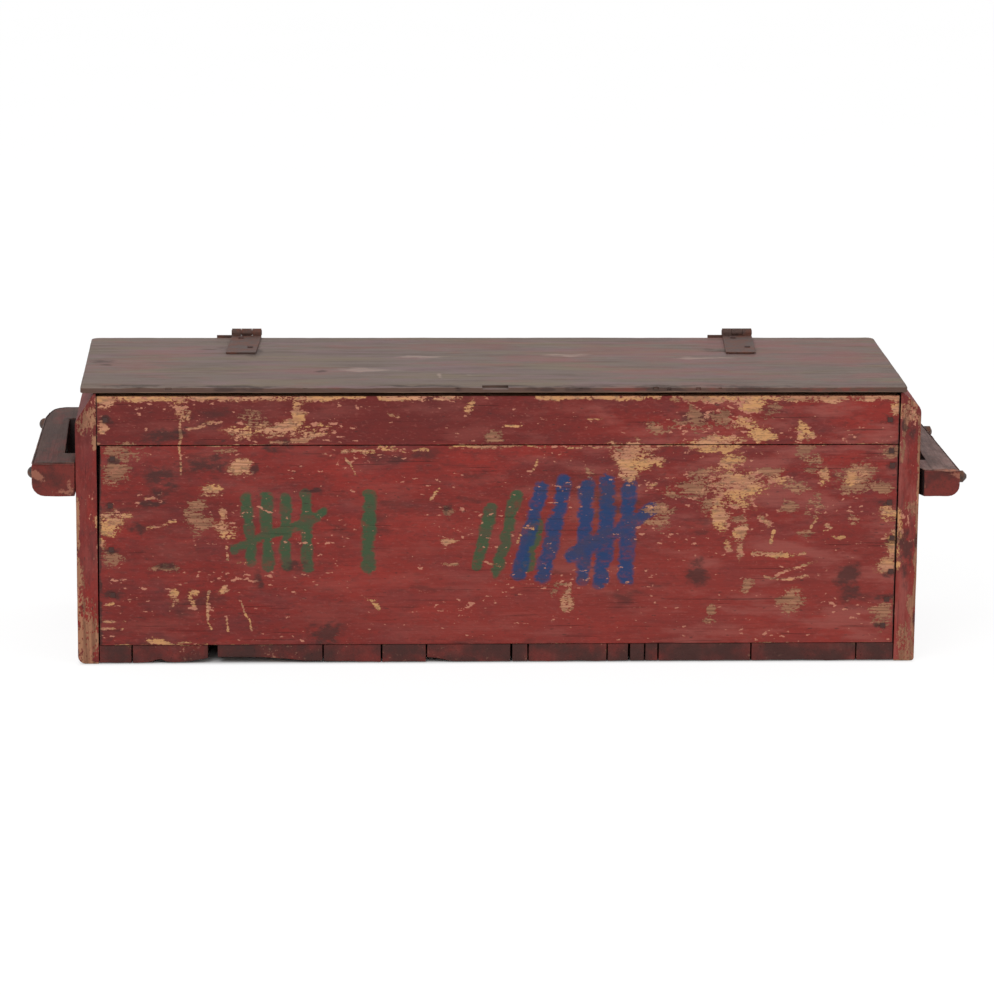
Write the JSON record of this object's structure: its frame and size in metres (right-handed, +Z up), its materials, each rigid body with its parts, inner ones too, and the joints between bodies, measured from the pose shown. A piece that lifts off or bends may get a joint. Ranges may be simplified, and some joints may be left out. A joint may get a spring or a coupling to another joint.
{
  "type": "plank tool chest",
  "caption": "Long low nailed plank chest with thick end planks, bolted wooden end handles, cross-laid bottom planks and a thin one-board lid on strap hinges; worn red paint.",
  "frame": {"origin": "centre of the chest's underside, on the floor it stands on, halfway along its length and depth", "axes": "+X along the chest to its right end, seen from the front; +Y from the front board to the back board and the hinges; +Z up"},
  "size_m": [1.1369, 0.334, 0.3516],
  "materials": {
    "painted_wood": "old red-brown paint, worn to bare wood at edges and scrapes, matt",
    "handle_wood": "same paint, rubbed grey-brown on top",
    "lid_wood": "weathered grey-brown board, stained, matt",
    "bottom_wood": "dark raw softwood, end grain stained maroon, matt",
    "hinge_iron": "old iron with rust and traces of paint",
    "bolt_iron": "old iron, rusty, painted over",
    "nail_iron": "old iron, rusty"
  },
  "bodies": {
    "chest": {"front_upper_board": "painted_wood", "front_lower_board": "painted_wood", "back_upper_board": "painted_wood", "back_lower_board": "painted_wood", "left_end_plank": "painted_wood", "right_end_plank": "painted_wood", "left_handle": "handle_wood", "right_handle": "handle_wood", "bottom_plank_01": "bottom_wood", "bottom_plank_02": "bottom_wood", "bottom_plank_03": "bottom_wood", "bottom_plank_04": "bottom_wood", "bottom_plank_05": "bottom_wood", "bottom_plank_06": "bottom_wood", "bottom_plank_07": "bottom_wood", "bottom_plank_08": "bottom_wood", "bottom_plank_09": "bottom_wood", "bottom_plank_10": "bottom_wood", "left_hinge_back_leaf": "hinge_iron", "right_hinge_back_leaf": "hinge_iron", "hinge_pins": "hinge_iron", "left_handle_bolts": "bolt_iron", "left_handle_washers": "bolt_iron", "left_handle_nuts": "bolt_iron", "right_handle_bolts": "bolt_iron", "right_handle_washers": "bolt_iron", "right_handle_nuts": "bolt_iron", "front_board_nails": "nail_iron", "back_board_nails": "nail_iron", "bottom_nails": "nail_iron", "back_leaf_nails": "nail_iron"},
    "lid": {"lid_board": "lid_wood", "left_hinge_lid_leaf": "hinge_iron", "right_hinge_lid_leaf": "hinge_iron", "lid_leaf_nails": "nail_iron"}
  },
  "joints": [
    {"name": "lid_hinge", "type": "hinge", "parent": "chest", "child": "lid", "pos_m": [0, 0.16106, 0.34656], "axis": [-1, 0, 0], "range_deg": [0, 270]}
  ]
}
